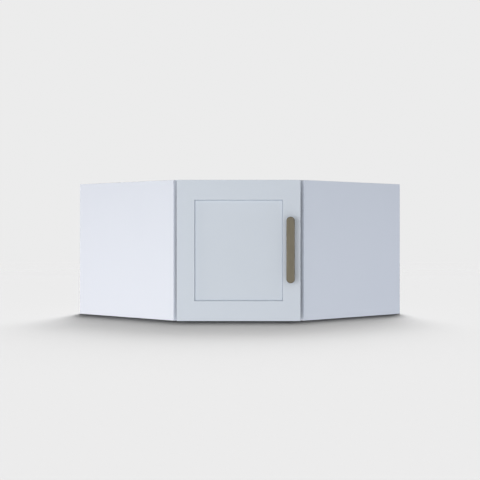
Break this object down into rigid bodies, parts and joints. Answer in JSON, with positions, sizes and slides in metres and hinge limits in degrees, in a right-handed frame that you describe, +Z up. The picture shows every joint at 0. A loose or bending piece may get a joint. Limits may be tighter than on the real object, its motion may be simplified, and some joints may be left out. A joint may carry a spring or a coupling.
{
  "type": "corner wall cabinet",
  "caption": "Low wall cabinet for an inside corner of a room, with a narrow diagonal framed door on concealed hinges and an upright bar handle",
  "frame": {"origin": "centre of the bounding box at its lowest level, on the underside of the bottom board", "axes": "+X to the right seen from the front, +Y back into the room's corner, +Z up, the door faces -Y"},
  "size_m": [0.8486, 0.7394, 0.343],
  "materials": {
    "paint": "fibreboard under satin lacquer, cold off-white",
    "inner_board": "melamine-faced particle board, fine matt",
    "beech": "plain turned beech",
    "bronze": "brushed along its length, taupe bronze tint",
    "nickel": "nickel-plated pressed steel",
    "zinc": "bright zinc-plated steel",
    "grey_plastic": "moulded nylon",
    "clear_rubber": "soft translucent pad"
  },
  "bodies": {
    "carcass": {"bottom_panel": "paint", "corner_post": "inner_board", "left_back_panel": "inner_board", "left_end_panel": "paint", "left_hanger_cover": "grey_plastic", "left_hanger_hook": "zinc", "left_hanger_housing": "grey_plastic", "left_lower_front_dowel": "beech", "left_lower_rear_dowel": "beech", "left_upper_front_dowel": "beech", "left_upper_rear_dowel": "beech", "lower_hinge_arm": "nickel", "lower_hinge_depth_screw": "zinc", "lower_hinge_plate": "nickel", "lower_hinge_plate_screw_high": "zinc", "lower_hinge_plate_screw_low": "zinc", "lower_hinge_side_screw": "zinc", "right_back_panel": "inner_board", "right_end_panel": "paint", "right_hanger_cover": "grey_plastic", "right_hanger_hook": "zinc", "right_hanger_housing": "grey_plastic", "right_lower_front_dowel": "beech", "right_lower_rear_dowel": "beech", "right_upper_front_dowel": "beech", "right_upper_rear_dowel": "beech", "top_panel": "paint", "upper_hinge_arm": "nickel", "upper_hinge_depth_screw": "zinc", "upper_hinge_plate": "nickel", "upper_hinge_plate_screw_high": "zinc", "upper_hinge_plate_screw_low": "zinc", "upper_hinge_side_screw": "zinc"},
    "door": {"door_bottom_rail": "paint", "door_handle_stile": "paint", "door_hinge_stile": "paint", "door_panel": "paint", "door_top_rail": "paint", "handle_bar": "bronze", "handle_lower_foot": "bronze", "handle_lower_screw": "zinc", "handle_upper_foot": "bronze", "handle_upper_screw": "zinc", "lower_buffer": "clear_rubber", "lower_hinge_cup": "nickel", "lower_hinge_cup_screw_high": "zinc", "lower_hinge_cup_screw_low": "zinc", "upper_buffer": "clear_rubber", "upper_hinge_cup": "nickel", "upper_hinge_cup_screw_high": "zinc", "upper_hinge_cup_screw_low": "zinc"},
    "outer_levers": {"lower_hinge_outer_lever": "nickel", "upper_hinge_outer_lever": "nickel"},
    "inner_levers": {"lower_hinge_inner_lever": "nickel", "upper_hinge_inner_lever": "nickel"}
  },
  "joints": [
    {"name": "outer_lever_turn", "type": "hinge", "parent": "carcass", "child": "outer_levers", "pos_m": [-0.1169, -0.30872, 0.1715], "axis": [0, 0, 1], "range_deg": [0, 5.66]},
    {"name": "door_turn", "type": "hinge", "parent": "outer_levers", "child": "door", "pos_m": [-0.1374, -0.32515, 0.1715], "axis": [0, 0, -1], "range_deg": [0, 97.6]},
    {"name": "inner_lever_turn", "type": "hinge", "parent": "carcass", "child": "inner_levers", "pos_m": [-0.1225, -0.31942, 0.1715], "axis": [0, 0, -1], "range_deg": [0, 17.62]}
  ],
  "couplings": [
    {"joint": "outer_lever_turn", "follows": "door_turn", "ratio": 0.057493},
    {"joint": "inner_lever_turn", "follows": "door_turn", "ratio": 0.18002}
  ]
}
